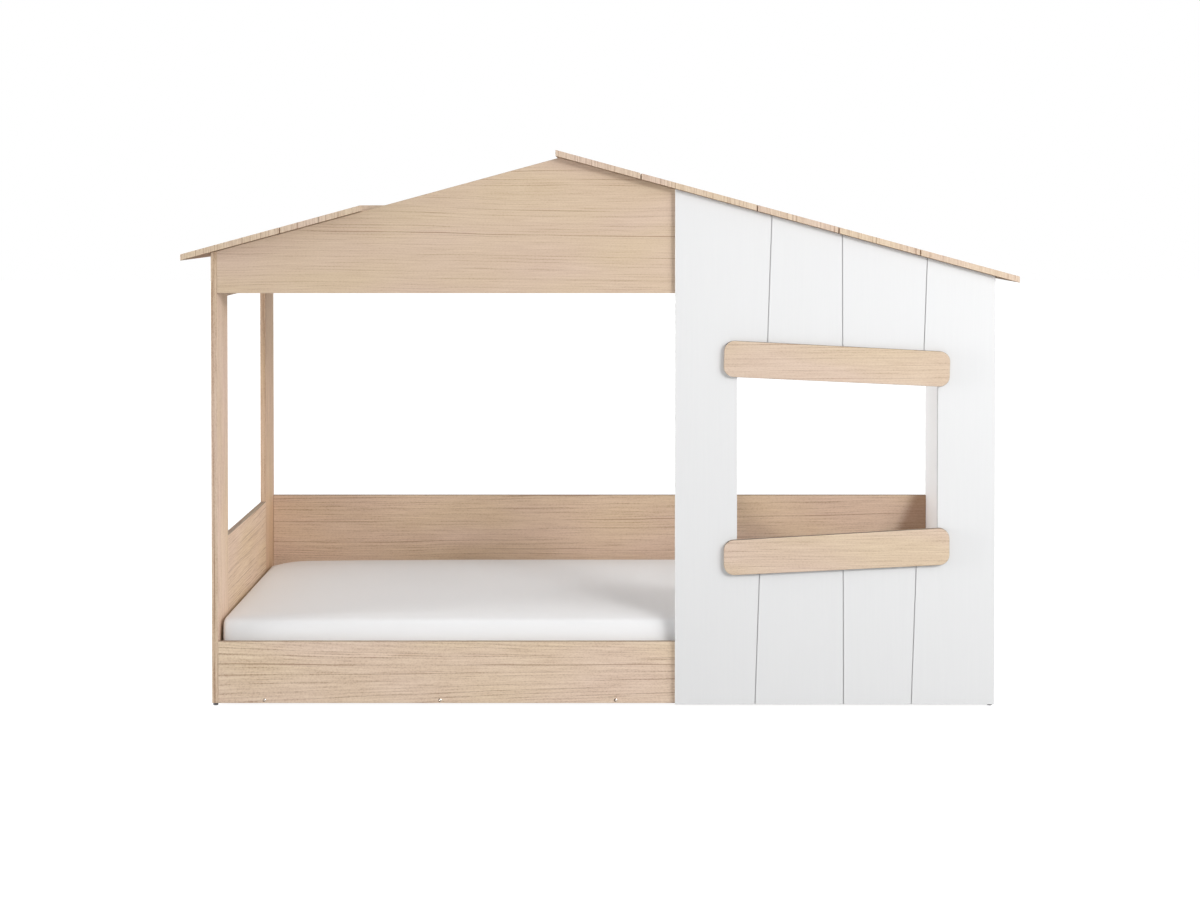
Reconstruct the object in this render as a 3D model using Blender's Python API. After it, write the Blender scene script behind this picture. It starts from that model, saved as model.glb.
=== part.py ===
"""House bed: a low single bed with a boarded roof, a white end and a white front wall with a window.

Metres, +Z up. X runs along the bed with the white end at +X, and the open front faces -Y.
The floor is at Z 0, and the origin is under the middle of the bed's overall box.
"""
import math

import bmesh
import bpy
from mathutils import Matrix, Vector

# Boards and clearances
BOARD = 0.015                   # thickness of every laminated board
SEAT_GAP = 0.0003               # clearance between two pieces that touch
EDGE_ROUND = 0.0008             # softened edges of a board
CUT_OVERRUN = 0.010             # how far a cutter runs past the surface it opens

# Mattress, and its play between the ends and between the guards
MATTRESS_LENGTH = 1.900
MATTRESS_WIDTH = 0.900
MATTRESS_THICKNESS = 0.180
MATTRESS_PLAY_LEFT = 0.006
MATTRESS_PLAY_RIGHT = 0.014
MATTRESS_SIDE_PLAY = 0.010
MATTRESS_CROWN = 0.009
MATTRESS_FRONT_CORNER = 0.034   # radius of the corners in plan
MATTRESS_REAR_CORNER = 0.070
MATTRESS_TOP_RADIUS = 0.030
MATTRESS_BOTTOM_RADIUS = 0.014
MATTRESS_SIDE_DRAW = 0.004      # the sides draw in below the top seam
MATTRESS_CORNER_STEPS = 7
MATTRESS_ROUND_STEPS = 4
MATTRESS_LONG_SIDE_SHARES = (0.25, 0.50, 0.75)
MATTRESS_TOP_SHARES = (0.05, 0.14, 0.30, 0.50, 0.72, 0.95)

# Ends
GLIDE_HEIGHT = 0.0065
STILE_WIDTH = 0.157
LEFT_PANEL_HEIGHT = 0.400
LEFT_RAIL_DROP = 0.013          # how far the left rail reaches below the gables

# Guards and gables
FRONT_GUARD_HEIGHT = 0.1555
REAR_GUARD_HEIGHT = 0.400
HEADROOM = 1.039                # lower edge of the gables above the floor
GABLE_END_DEPTH = 0.051         # depth of the gables at the low right end

# Roof
ROOF_PITCH = math.radians(15.25)
PEAK_SHARE = 0.448              # place of the peak along the inner length, from the left
RIDGE_OVERHANG = 0.010          # the right slope's top board passes the peak
EAVE_OVERHANG_LEFT = 0.070
EAVE_OVERHANG_RIGHT = 0.057
ROOF_OVERHANG = 0.035           # at the front and at the back
ROOF_BOARD_GAP = 0.003
RIGHT_BOARD_SHARES = (0.2147, 0.1751, 0.1751, 0.2501, 0.1850)   # of the right slope, from its eave
LEFT_BOARD_SHARES = (0.2629, 0.2144)    # of the left slope, from its eave; the rest is open

# White front wall
FACADE_WIDTH = 0.801
WINDOW_WIDTH = 0.503
WINDOW_HEIGHT = 0.471
WINDOW_FROM_RIGHT = 0.143
WINDOW_FROM_BOTTOM = 0.3855
PLANK_1_WIDTH = 0.2007          # each plank at its foot, from the left
PLANK_2_WIDTH = 0.2221
PLANK_3_WIDTH = 0.1700
GROOVE_WIDTH = 0.0024
GROOVE_DEPTH = 0.0040
GROOVE_LEANS = (math.radians(1.91), math.radians(-0.24), math.radians(1.91))

# Wooden trims over and under the window
TRIM_LENGTH = 0.5636
TRIM_SHIFT = 0.003              # both trims sit a little left of the window's middle
TRIM_CORNER_RADIUS = 0.025
TRIM_EDGE_ROUND = 0.0015
LINTEL_LEFT_HEIGHT = 0.0904
LINTEL_RIGHT_HEIGHT = 0.0877
LINTEL_TILT = math.radians(-2.80)
LINTEL_END_LEAN = math.radians(1.9)
SILL_LEFT_HEIGHT = 0.0874
SILL_RIGHT_HEIGHT = 0.0924
SILL_TILT = math.radians(3.07)

# Slatted base
LEDGE_WIDTH = 0.045
RUNNER_WIDTH = 0.060
SLAT_COUNT = 12
SLAT_WIDTH = 0.090
SLAT_THICKNESS = 0.012
SLAT_END_CLEARANCE = 0.001
SLAT_EDGE_ROUND = 0.0015

# Glides under the upright boards and under the runner
GLIDE_RADIUS = 0.0066
GLIDE_CORNER_RADIUS = 0.0018
GLIDE_INSET = 0.010             # from the ends of the board to the glide's axis
GLIDE_NAIL_RADIUS = 0.0013
GLIDE_NAIL_LENGTH = 0.012
RUNNER_GLIDE_SHARE = 1 / 3      # the runner's two glides stand a third of its length apart

# Screws: a countersunk head, a plain shank and a blunt tip
LEDGE_SCREW_COUNT = 5
LEDGE_SCREW_FROM_LEFT = 0.1163
LEDGE_SCREW_FROM_RIGHT = 0.0357
LEDGE_SCREW_HEAD_RADIUS = 0.0040
LEDGE_SCREW_HEAD_HEIGHT = 0.0026
LEDGE_SCREW_SHANK_RADIUS = 0.0018
LEDGE_SCREW_LENGTH = 0.040
CORNER_SCREW_HEAD_RADIUS = 0.0050
CORNER_SCREW_HEAD_HEIGHT = 0.0032
CORNER_SCREW_SHANK_RADIUS = 0.0030
CORNER_SCREW_LENGTH = 0.050
GABLE_SCREW_INSET = 0.0255      # screws above the gables' lower edge
SCREW_SINK = 0.0002             # heads lie this far under the surface
SCREW_HEAD_RIM = 0.0004         # plain rim above the countersunk cone
SCREW_TIP_SHARE = 0.6           # tip's radius as a share of the shank's
SCREW_SIDES = 16
GLIDE_SIDES = 20

# Places worked out from the sizes above
RISE = math.tan(ROOF_PITCH)
INNER_LENGTH = MATTRESS_PLAY_LEFT + MATTRESS_LENGTH + MATTRESS_PLAY_RIGHT
INNER_WIDTH = MATTRESS_WIDTH + 2 * MATTRESS_SIDE_PLAY
OVERALL_LENGTH = (EAVE_OVERHANG_LEFT + BOARD + INNER_LENGTH
                  + BOARD + SEAT_GAP + BOARD + EAVE_OVERHANG_RIGHT)
LEFT_OUTER = EAVE_OVERHANG_LEFT - OVERALL_LENGTH / 2
LEFT_INNER = LEFT_OUTER + BOARD
RIGHT_INNER = LEFT_INNER + INNER_LENGTH
RIGHT_WALL_INNER = RIGHT_INNER + BOARD + SEAT_GAP
RIGHT_OUTER = RIGHT_WALL_INNER + BOARD
MIDDLE_X = (LEFT_INNER + RIGHT_INNER) / 2
FRONT_INNER = -INNER_WIDTH / 2
REAR_INNER = INNER_WIDTH / 2
FRONT_OUTER = FRONT_INNER - BOARD
REAR_OUTER = REAR_INNER + BOARD
FACADE_BACK = FRONT_OUTER - SEAT_GAP
FACADE_FRONT = FACADE_BACK - BOARD
ROOF_FRONT = FRONT_OUTER - ROOF_OVERHANG
ROOF_REAR = REAR_OUTER + ROOF_OVERHANG
BASE_Z = GLIDE_HEIGHT + SEAT_GAP
LEDGE_TOP = BASE_Z + BOARD
SLAT_BOTTOM = LEDGE_TOP + SEAT_GAP
SLAT_TOP = SLAT_BOTTOM + SLAT_THICKNESS
MATTRESS_BOTTOM = SLAT_TOP + SEAT_GAP
PEAK_X = LEFT_INNER + PEAK_SHARE * INNER_LENGTH
PEAK_Z = HEADROOM + GABLE_END_DEPTH + RISE * (RIGHT_INNER - PEAK_X)
FACADE_LEFT = RIGHT_OUTER - FACADE_WIDTH
WINDOW_RIGHT = RIGHT_OUTER - WINDOW_FROM_RIGHT
WINDOW_LEFT = WINDOW_RIGHT - WINDOW_WIDTH
WINDOW_BOTTOM = BASE_Z + WINDOW_FROM_BOTTOM
WINDOW_TOP = WINDOW_BOTTOM + WINDOW_HEIGHT
GROOVE_FEET = (PLANK_1_WIDTH, PLANK_1_WIDTH + PLANK_2_WIDTH, PLANK_1_WIDTH + PLANK_2_WIDTH + PLANK_3_WIDTH)
LEDGE_SCREW_ROW = INNER_LENGTH - LEDGE_SCREW_FROM_LEFT - LEDGE_SCREW_FROM_RIGHT


def wall_top(x):
    """Height of the raked upper edges of walls, stiles and gables at x."""
    return PEAK_Z - RISE * abs(x - PEAK_X)


def slope_underside(x, side):
    """Underside of the right (side 1) or left (side -1) roof slope, also past the peak."""
    return PEAK_Z - RISE * side * (x - PEAK_X) + SEAT_GAP


# Materials

def make_material(name, colour, roughness, metallic=0.0):
    material = bpy.data.materials.new(name)
    material.use_nodes = True
    shader = material.node_tree.nodes["Principled BSDF"]
    shader.inputs["Base Color"].default_value = (*colour, 1.0)
    shader.inputs["Roughness"].default_value = roughness
    shader.inputs["Metallic"].default_value = metallic
    material.diffuse_color = (*colour, 1.0)
    return material


def light_oak(name):
    return make_material(name, (0.650, 0.500, 0.345), 0.55)


def white_laminate(name):
    return make_material(name, (0.830, 0.835, 0.840), 0.45)


def bare_pine(name):
    return make_material(name, (0.700, 0.560, 0.390), 0.65)


def white_sheet(name):
    return make_material(name, (0.850, 0.850, 0.850), 0.90)


def dark_plastic(name):
    return make_material(name, (0.090, 0.090, 0.095), 0.40)


def zinc_plate(name):
    return make_material(name, (0.620, 0.610, 0.600), 0.30, 1.0)


# Mesh helpers

def clear_scene():
    for thing in list(bpy.data.objects):
        bpy.data.objects.remove(thing, do_unlink=True)


def add_object(name, bm, finish):
    """Close the bmesh into a named object with its own material."""
    bmesh.ops.recalc_face_normals(bm, faces=bm.faces)
    mesh = bpy.data.meshes.new(name)
    bm.to_mesh(mesh)
    bm.free()
    thing = bpy.data.objects.new(name, mesh)
    thing.data.materials.append(finish(name + "_finish"))
    bpy.context.scene.collection.objects.link(thing)
    return thing


def prism(name, outline, y_low, y_high, finish):
    """Extrude a closed outline of (x, z) points from front to back."""
    bm = bmesh.new()
    face = bm.faces.new([bm.verts.new((x, y_low, z)) for x, z in outline])
    grown = bmesh.ops.extrude_face_region(bm, geom=[face])
    moved = [item for item in grown["geom"] if isinstance(item, bmesh.types.BMVert)]
    bmesh.ops.translate(bm, verts=moved, vec=(0, y_high - y_low, 0))
    return add_object(name, bm, finish)


def block(name, low, high, finish):
    """A rectangular board between two corners."""
    outline = [(low[0], low[2]), (high[0], low[2]), (high[0], high[2]), (low[0], high[2])]
    return prism(name, outline, low[1], high[1], finish)


def turned(name, profile, origin, direction, sides, finish):
    """Turn a profile of (radius, height) points about an axis through origin along direction."""
    bm = bmesh.new()
    bottom = bm.verts.new((0, 0, profile[0][1]))
    top = bm.verts.new((0, 0, profile[-1][1]))
    rings = []
    for radius, height in profile:
        angles = [math.tau * step / sides for step in range(sides)]
        rings.append([bm.verts.new((radius * math.cos(a), radius * math.sin(a), height)) for a in angles])
    for lower, upper in zip(rings, rings[1:]):
        for step in range(sides):
            following = (step + 1) % sides
            bm.faces.new((lower[step], lower[following], upper[following], upper[step]))
    for step in range(sides):
        following = (step + 1) % sides
        bm.faces.new((rings[0][following], rings[0][step], bottom))
        bm.faces.new((rings[-1][step], rings[-1][following], top))
    thing = add_object(name, bm, finish)
    thing.data.shade_smooth()
    thing.data.set_sharp_from_angle(angle=math.radians(35))
    turn = Vector((0, 0, 1)).rotation_difference(Vector(direction))
    thing.data.transform(turn.to_matrix().to_4x4())
    thing.location = origin
    return thing


def soften(thing, width=EDGE_ROUND, segments=1):
    """Round the board's edges before any cut is made in it."""
    bevel = thing.modifiers.new("soft_edges", "BEVEL")
    bevel.width = width
    bevel.segments = segments
    bevel.limit_method = "ANGLE"
    bevel.angle_limit = math.radians(40)
    return thing


def cut(thing, cutter):
    """Subtract a cutter, which stays in the file as a hidden guide."""
    cutter.hide_render = True
    cutter.display_type = "WIRE"
    carve = thing.modifiers.new("cut_" + cutter.name, "BOOLEAN")
    carve.operation = "DIFFERENCE"
    carve.solver = "EXACT"
    carve.object = cutter


# Screws and glides, and the holes that take them

def screw_profile(head_radius, head_height, shank_radius, length, clearance=0.0, overrun=0.0):
    """From the tip at 0 up to the head. Clearance and overrun turn it into that screw's hole."""
    shank = shank_radius + clearance
    head = head_radius + clearance
    return [(shank_radius * SCREW_TIP_SHARE + clearance, -clearance),
            (shank, shank_radius),
            (shank, length - head_height - clearance),
            (head, length - SCREW_HEAD_RIM - clearance),
            (head, length + overrun)]


def add_screw(name, head_at, inward, sizes, boards):
    """A screw whose head lies at head_at and points inward; it cuts its hole in each board."""
    head_radius, head_height, shank_radius, length = sizes
    inward = Vector(inward)
    tip_at = Vector(head_at) + inward * (length + SCREW_SINK)
    solid = screw_profile(head_radius, head_height, shank_radius, length)
    turned(name, solid, tip_at, -inward, SCREW_SIDES, zinc_plate)
    hollow = screw_profile(head_radius, head_height, shank_radius, length, SEAT_GAP, CUT_OVERRUN)
    hole = turned(name + "_hole", hollow, tip_at, -inward, SCREW_SIDES, zinc_plate)
    for board in boards:
        cut(board, hole)


def glide_profile():
    """From the floor up: a domed foot, a flat shoulder and the nail."""
    corner = GLIDE_CORNER_RADIUS
    steps = 4
    dome = []
    for step in range(steps + 1):
        angle = math.pi / 2 * step / steps
        dome.append((GLIDE_RADIUS - corner + corner * math.sin(angle), corner - corner * math.cos(angle)))
    return dome + [(GLIDE_RADIUS, GLIDE_HEIGHT),
                   (GLIDE_NAIL_RADIUS, GLIDE_HEIGHT),
                   (GLIDE_NAIL_RADIUS, GLIDE_HEIGHT + GLIDE_NAIL_LENGTH)]


def add_glide(name, x, y, board):
    turned(name, glide_profile(), (x, y, 0), (0, 0, 1), GLIDE_SIDES, dark_plastic)
    radius = GLIDE_NAIL_RADIUS + SEAT_GAP
    bore = [(radius, GLIDE_HEIGHT - CUT_OVERRUN), (radius, GLIDE_HEIGHT + GLIDE_NAIL_LENGTH + SEAT_GAP)]
    cut(board, turned(name + "_hole", bore, (x, y, 0), (0, 0, 1), GLIDE_SIDES, dark_plastic))


# The two ends

def upright(name, x_low, x_high, y_low, y_high, z_low, finish):
    """A board that stands across the bed, with its upper edge raked to the roof."""
    outline = [(x_low, z_low), (x_high, z_low), (x_high, wall_top(x_high)), (x_low, wall_top(x_low))]
    return soften(prism(name, outline, y_low, y_high, finish))


def build_left_end():
    """Two stiles with a low panel and a top rail between them, open in the middle."""
    front_stile = upright("left_front_stile", LEFT_OUTER, LEFT_INNER,
                          FRONT_OUTER, FRONT_OUTER + STILE_WIDTH, BASE_Z, light_oak)
    rear_stile = upright("left_rear_stile", LEFT_OUTER, LEFT_INNER,
                         REAR_OUTER - STILE_WIDTH, REAR_OUTER, BASE_Z, light_oak)
    between_front = FRONT_OUTER + STILE_WIDTH + SEAT_GAP
    between_rear = REAR_OUTER - STILE_WIDTH - SEAT_GAP
    soften(block("left_lower_panel",
                 (LEFT_OUTER, between_front, BASE_Z),
                 (LEFT_INNER, between_rear, BASE_Z + LEFT_PANEL_HEIGHT), light_oak))
    upright("left_top_rail", LEFT_OUTER, LEFT_INNER, between_front, between_rear,
            HEADROOM - LEFT_RAIL_DROP, light_oak)
    return front_stile, rear_stile


def build_right_end():
    """A closed white end of two boards."""
    inner = upright("right_end_panel", RIGHT_INNER, RIGHT_INNER + BOARD,
                    FRONT_OUTER, REAR_OUTER, BASE_Z, white_laminate)
    outer = upright("right_side_wall", RIGHT_WALL_INNER, RIGHT_OUTER,
                    FRONT_OUTER, REAR_OUTER, BASE_Z, white_laminate)
    return inner, outer


# Guards and gables

def build_guard(name, y_low, height):
    return soften(block(name, (LEFT_INNER + SEAT_GAP, y_low, BASE_Z),
                        (RIGHT_INNER - SEAT_GAP, y_low + BOARD, BASE_Z + height), light_oak))


def build_gable(name, y_low):
    """A board under the roof, raked to the peak on both sides."""
    left = LEFT_INNER + SEAT_GAP
    right = RIGHT_INNER - SEAT_GAP
    outline = [(left, HEADROOM), (right, HEADROOM), (right, wall_top(right)),
               (PEAK_X, PEAK_Z), (left, wall_top(left))]
    return soften(prism(name, outline, y_low, y_low + BOARD, light_oak))


# Roof

def roof_board(name, x_low, x_high, side):
    """A board from front to back, with plumb-cut long edges."""
    rise = BOARD / math.cos(ROOF_PITCH)
    low_edge = slope_underside(x_low, side)
    high_edge = slope_underside(x_high, side)
    outline = [(x_low, low_edge), (x_high, high_edge), (x_high, high_edge + rise), (x_low, low_edge + rise)]
    soften(prism(name, outline, ROOF_FRONT, ROOF_REAR, light_oak))


def build_roof():
    """Five boards on the right slope up to the peak, and two above the left eave."""
    edge = RIGHT_OUTER + EAVE_OVERHANG_RIGHT
    run = edge - (PEAK_X - RIDGE_OVERHANG) + ROOF_BOARD_GAP
    for number, share in enumerate(RIGHT_BOARD_SHARES):
        inner_edge = edge - share * run
        roof_board("roof_board_right_%d" % (number + 1), inner_edge + ROOF_BOARD_GAP, edge, 1)
        edge = inner_edge
    edge = LEFT_OUTER - EAVE_OVERHANG_LEFT
    run = PEAK_X - edge + ROOF_BOARD_GAP
    for number, share in enumerate(LEFT_BOARD_SHARES):
        inner_edge = edge + share * run
        roof_board("roof_board_left_%d" % (number + 1), edge, inner_edge - ROOF_BOARD_GAP, -1)
        edge = inner_edge


# White front wall

def build_facade():
    """The front wall: raked top, window, and three plank grooves that lean like hand-cut boards."""
    outline = [(FACADE_LEFT, BASE_Z), (RIGHT_OUTER, BASE_Z),
               (RIGHT_OUTER, wall_top(RIGHT_OUTER)), (FACADE_LEFT, wall_top(FACADE_LEFT))]
    facade = soften(prism("front_facade", outline, FACADE_FRONT, FACADE_BACK, white_laminate))
    window = block("window_cutter", (WINDOW_LEFT, FACADE_FRONT - CUT_OVERRUN, WINDOW_BOTTOM),
                   (WINDOW_RIGHT, FACADE_BACK + CUT_OVERRUN, WINDOW_TOP), white_laminate)
    cut(facade, window)
    low = BASE_Z - CUT_OVERRUN
    high = PEAK_Z
    for number, (foot, lean) in enumerate(zip(GROOVE_FEET, GROOVE_LEANS)):
        foot_x = FACADE_LEFT + foot
        low_x = foot_x - math.tan(lean) * (BASE_Z - low)
        high_x = foot_x + math.tan(lean) * (high - BASE_Z)
        half = GROOVE_WIDTH / 2
        path = [(low_x - half, low), (low_x + half, low), (high_x + half, high), (high_x - half, high)]
        cutter = prism("groove_cutter_%d" % (number + 1), path,
                       FACADE_FRONT - CUT_OVERRUN, FACADE_FRONT + GROOVE_DEPTH, white_laminate)
        cut(facade, cutter)


def rounded_outline(corners, radius, steps=6):
    """A convex outline with its corners, in anticlockwise order, replaced by arcs of the radius."""
    points = []
    count = len(corners)
    for index, corner in enumerate(corners):
        here = Vector(corner)
        before = (Vector(corners[index - 1]) - here).normalized()
        after = (Vector(corners[(index + 1) % count]) - here).normalized()
        half_angle = before.angle(after) / 2
        middle = (before + after).normalized()
        centre = here + middle * (radius / math.sin(half_angle))
        start = here + before * (radius / math.tan(half_angle)) - centre
        sweep = math.pi - 2 * half_angle
        for step in range(steps + 1):
            spoke = Matrix.Rotation(sweep * step / steps, 2) @ start
            points.append(tuple(centre + spoke))
    return points


def trim(name, middle_z, left_height, right_height, tilt, end_lean):
    """A crooked board with round corners, fixed on the front of the white wall."""
    middle_x = (WINDOW_LEFT + WINDOW_RIGHT) / 2 - TRIM_SHIFT
    corners = []
    for side, up in ((-1, -1), (1, -1), (1, 1), (-1, 1)):
        height = left_height if side < 0 else right_height
        x = middle_x + side * TRIM_LENGTH / 2 + up * math.tan(end_lean) * height / 2
        z = middle_z + side * math.tan(tilt) * TRIM_LENGTH / 2 + up * height / 2
        corners.append((x, z))
    outline = rounded_outline(corners, TRIM_CORNER_RADIUS)
    back = FACADE_FRONT - SEAT_GAP
    soften(prism(name, outline, back - BOARD, back, light_oak), TRIM_EDGE_ROUND, 2)


def build_trims():
    trim("window_lintel", WINDOW_TOP, LINTEL_LEFT_HEIGHT, LINTEL_RIGHT_HEIGHT, LINTEL_TILT, LINTEL_END_LEAN)
    trim("window_sill", WINDOW_BOTTOM, SILL_LEFT_HEIGHT, SILL_RIGHT_HEIGHT, SILL_TILT, 0.0)


# Slatted base

def build_base():
    """Two ledges along the guards and a runner between them, with slats laid across."""
    left = LEFT_INNER + SEAT_GAP
    right = RIGHT_INNER - SEAT_GAP
    front_low = FRONT_INNER + SEAT_GAP
    rear_high = REAR_INNER - SEAT_GAP
    front_ledge = soften(block("front_ledge", (left, front_low, BASE_Z),
                               (right, front_low + LEDGE_WIDTH, LEDGE_TOP), bare_pine))
    rear_ledge = soften(block("rear_ledge", (left, rear_high - LEDGE_WIDTH, BASE_Z),
                              (right, rear_high, LEDGE_TOP), bare_pine))
    runner = soften(block("centre_runner", (left, -RUNNER_WIDTH / 2, BASE_Z),
                          (right, RUNNER_WIDTH / 2, LEDGE_TOP), bare_pine))
    pitch = INNER_LENGTH / SLAT_COUNT
    for number in range(SLAT_COUNT):
        middle = LEFT_INNER + pitch / 2 + pitch * number
        soften(block("slat_%02d" % (number + 1),
                     (middle - SLAT_WIDTH / 2, FRONT_INNER + SLAT_END_CLEARANCE, SLAT_BOTTOM),
                     (middle + SLAT_WIDTH / 2, REAR_INNER - SLAT_END_CLEARANCE, SLAT_TOP), bare_pine),
               SLAT_EDGE_ROUND)
    return front_ledge, rear_ledge, runner


# Mattress

def mattress_outline():
    """The plan of the mattress and, for each point, the point of the centre line it runs to."""
    half_length = MATTRESS_LENGTH / 2
    half_width = MATTRESS_WIDTH / 2
    spine = half_length - half_width
    corners = ((1, 1, 0), (-1, 1, 1), (-1, -1, 2), (1, -1, 3))
    points = []
    for side_x, side_y, quarter in corners:
        radius = MATTRESS_REAR_CORNER if side_y > 0 else MATTRESS_FRONT_CORNER
        centre = Vector((side_x * (half_length - radius), side_y * (half_width - radius)))
        for step in range(MATTRESS_CORNER_STEPS + 1):
            angle = math.pi / 2 * (quarter + step / MATTRESS_CORNER_STEPS)
            points.append(centre + radius * Vector((math.cos(angle), math.sin(angle))))
        if quarter in (0, 2):
            for share in MATTRESS_LONG_SIDE_SHARES:
                points.append(Vector((centre.x - 2 * centre.x * share, side_y * half_width)))
        else:
            points.append(Vector((side_x * half_length, 0)))
    inner = [Vector((max(-spine, min(spine, point.x)), 0)) for point in points]
    return points, inner


def mattress_rings():
    """Each ring as (distance drawn in, share of the way to the centre line, height)."""
    bottom = MATTRESS_BOTTOM_RADIUS
    top = MATTRESS_TOP_RADIUS
    rings = []
    for step in range(MATTRESS_ROUND_STEPS + 1):
        angle = math.pi / 2 * step / MATTRESS_ROUND_STEPS
        rings.append((bottom * (1 - math.sin(angle)), 0.0, bottom * (1 - math.cos(angle))))
    rings.append((MATTRESS_SIDE_DRAW, 0.0, (MATTRESS_THICKNESS + bottom - top) / 2))
    for step in range(MATTRESS_ROUND_STEPS + 1):
        angle = math.pi / 2 * step / MATTRESS_ROUND_STEPS
        rings.append((top * (1 - math.cos(angle)), 0.0, MATTRESS_THICKNESS - top * (1 - math.sin(angle))))
    for share in MATTRESS_TOP_SHARES:
        rise = MATTRESS_CROWN * (1 - (1 - share) ** 2)
        rings.append((top, share, MATTRESS_THICKNESS + rise))
    return rings


def build_mattress():
    """A foam mattress: flat below, sides drawn in, round top edge and a low crown."""
    outline, inner = mattress_outline()
    centre = Vector((LEFT_INNER + MATTRESS_PLAY_LEFT + MATTRESS_LENGTH / 2, 0))
    bm = bmesh.new()
    rings = []
    for drawn_in, share, height in mattress_rings():
        ring = []
        for point, target in zip(outline, inner):
            edge = point + (target - point).normalized() * drawn_in
            place = centre + edge.lerp(target, share)
            ring.append(bm.verts.new((place.x, place.y, MATTRESS_BOTTOM + height)))
        rings.append(ring)
    count = len(outline)
    for lower, upper in zip(rings, rings[1:]):
        for index in range(count):
            following = (index + 1) % count
            bm.faces.new((lower[index], lower[following], upper[following], upper[index]))
    bm.faces.new(list(reversed(rings[0])))
    bm.faces.new(rings[-1])
    mattress = add_object("mattress", bm, white_sheet)
    mattress.data.shade_smooth()
    mattress.data.set_sharp_from_angle(angle=math.radians(50))


# Fixings

def add_ledge_screws(prefix, face_y, inward, guard, ledge):
    """A row of screws through the foot of a guard into the edge of its ledge."""
    sizes = (LEDGE_SCREW_HEAD_RADIUS, LEDGE_SCREW_HEAD_HEIGHT,
             LEDGE_SCREW_SHANK_RADIUS, LEDGE_SCREW_LENGTH)
    spacing = LEDGE_SCREW_ROW / (LEDGE_SCREW_COUNT - 1)
    for number in range(LEDGE_SCREW_COUNT):
        x = LEFT_INNER + LEDGE_SCREW_FROM_LEFT + spacing * number
        add_screw("%s_ledge_screw_%d" % (prefix, number + 1), (x, face_y, BASE_Z + BOARD / 2),
                  (0, inward, 0), sizes, (guard, ledge))


def add_corner_screws(end_boards, guards, gables):
    """One long screw through each end into each guard and each gable."""
    sizes = (CORNER_SCREW_HEAD_RADIUS, CORNER_SCREW_HEAD_HEIGHT,
             CORNER_SCREW_SHANK_RADIUS, CORNER_SCREW_LENGTH)
    guard_heights = (FRONT_GUARD_HEIGHT, REAR_GUARD_HEIGHT)
    faces = {"left": (LEFT_OUTER, 1), "right": (RIGHT_INNER + BOARD, -1)}
    for end, (face_x, inward) in faces.items():
        for index, side in enumerate(("front", "rear")):
            y = (-1, 1)[index] * (INNER_WIDTH + BOARD) / 2
            board = end_boards[end][index]
            low_z = BASE_Z + guard_heights[index] / 2
            high_z = HEADROOM + GABLE_SCREW_INSET
            add_screw("corner_screw_%s_%s_low" % (end, side), (face_x, y, low_z),
                      (inward, 0, 0), sizes, (board, guards[index]))
            add_screw("corner_screw_%s_%s_high" % (end, side), (face_x, y, high_z),
                      (inward, 0, 0), sizes, (board, gables[index]))


def add_glides(front_stile, rear_stile, side_wall, runner):
    left_x = (LEFT_OUTER + LEFT_INNER) / 2
    right_x = (RIGHT_WALL_INNER + RIGHT_OUTER) / 2
    front_y = FRONT_OUTER + GLIDE_INSET
    rear_y = REAR_OUTER - GLIDE_INSET
    add_glide("glide_left_front", left_x, front_y, front_stile)
    add_glide("glide_left_rear", left_x, rear_y, rear_stile)
    add_glide("glide_right_front", right_x, front_y, side_wall)
    add_glide("glide_right_rear", right_x, rear_y, side_wall)
    half_spacing = RUNNER_GLIDE_SHARE * INNER_LENGTH / 2
    add_glide("glide_runner_left", MIDDLE_X - half_spacing, 0, runner)
    add_glide("glide_runner_right", MIDDLE_X + half_spacing, 0, runner)


def main():
    clear_scene()
    front_stile, rear_stile = build_left_end()
    end_panel, side_wall = build_right_end()
    front_guard = build_guard("front_guard", FRONT_OUTER, FRONT_GUARD_HEIGHT)
    rear_guard = build_guard("rear_guard", REAR_INNER, REAR_GUARD_HEIGHT)
    front_gable = build_gable("front_gable", FRONT_OUTER)
    rear_gable = build_gable("rear_gable", REAR_INNER)
    build_roof()
    build_facade()
    build_trims()
    front_ledge, rear_ledge, runner = build_base()
    build_mattress()
    add_ledge_screws("front", FRONT_OUTER, 1, front_guard, front_ledge)
    add_ledge_screws("rear", REAR_OUTER, -1, rear_guard, rear_ledge)
    add_corner_screws({"left": (front_stile, rear_stile), "right": (end_panel, end_panel)},
                      (front_guard, rear_guard), (front_gable, rear_gable))
    add_glides(front_stile, rear_stile, side_wall, runner)


main()
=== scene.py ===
# Looks of the house bed: finishes of the boards, the mattress under its fitted sheet,
# the screw heads, and a plain white studio seen from the front.
import math

import bmesh
import bpy
from mathutils import Matrix, Vector


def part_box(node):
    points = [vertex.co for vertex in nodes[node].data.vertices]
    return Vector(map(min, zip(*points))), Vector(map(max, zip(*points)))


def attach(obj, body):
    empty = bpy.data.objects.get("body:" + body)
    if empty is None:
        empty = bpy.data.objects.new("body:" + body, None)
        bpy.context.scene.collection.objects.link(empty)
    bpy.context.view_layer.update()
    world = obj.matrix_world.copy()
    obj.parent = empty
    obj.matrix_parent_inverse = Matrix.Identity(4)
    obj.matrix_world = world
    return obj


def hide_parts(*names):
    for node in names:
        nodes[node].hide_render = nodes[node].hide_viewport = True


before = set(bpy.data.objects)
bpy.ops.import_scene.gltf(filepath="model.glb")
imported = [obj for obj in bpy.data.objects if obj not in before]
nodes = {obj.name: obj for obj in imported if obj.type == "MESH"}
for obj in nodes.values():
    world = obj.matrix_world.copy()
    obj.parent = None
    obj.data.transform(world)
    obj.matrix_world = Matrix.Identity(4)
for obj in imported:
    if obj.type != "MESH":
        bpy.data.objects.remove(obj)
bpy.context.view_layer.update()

MM = 0.001
AXIS = {"X": 0, "Y": 1, "Z": 2}
WHITE = (1.0, 1.0, 1.0, 1.0)
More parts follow.
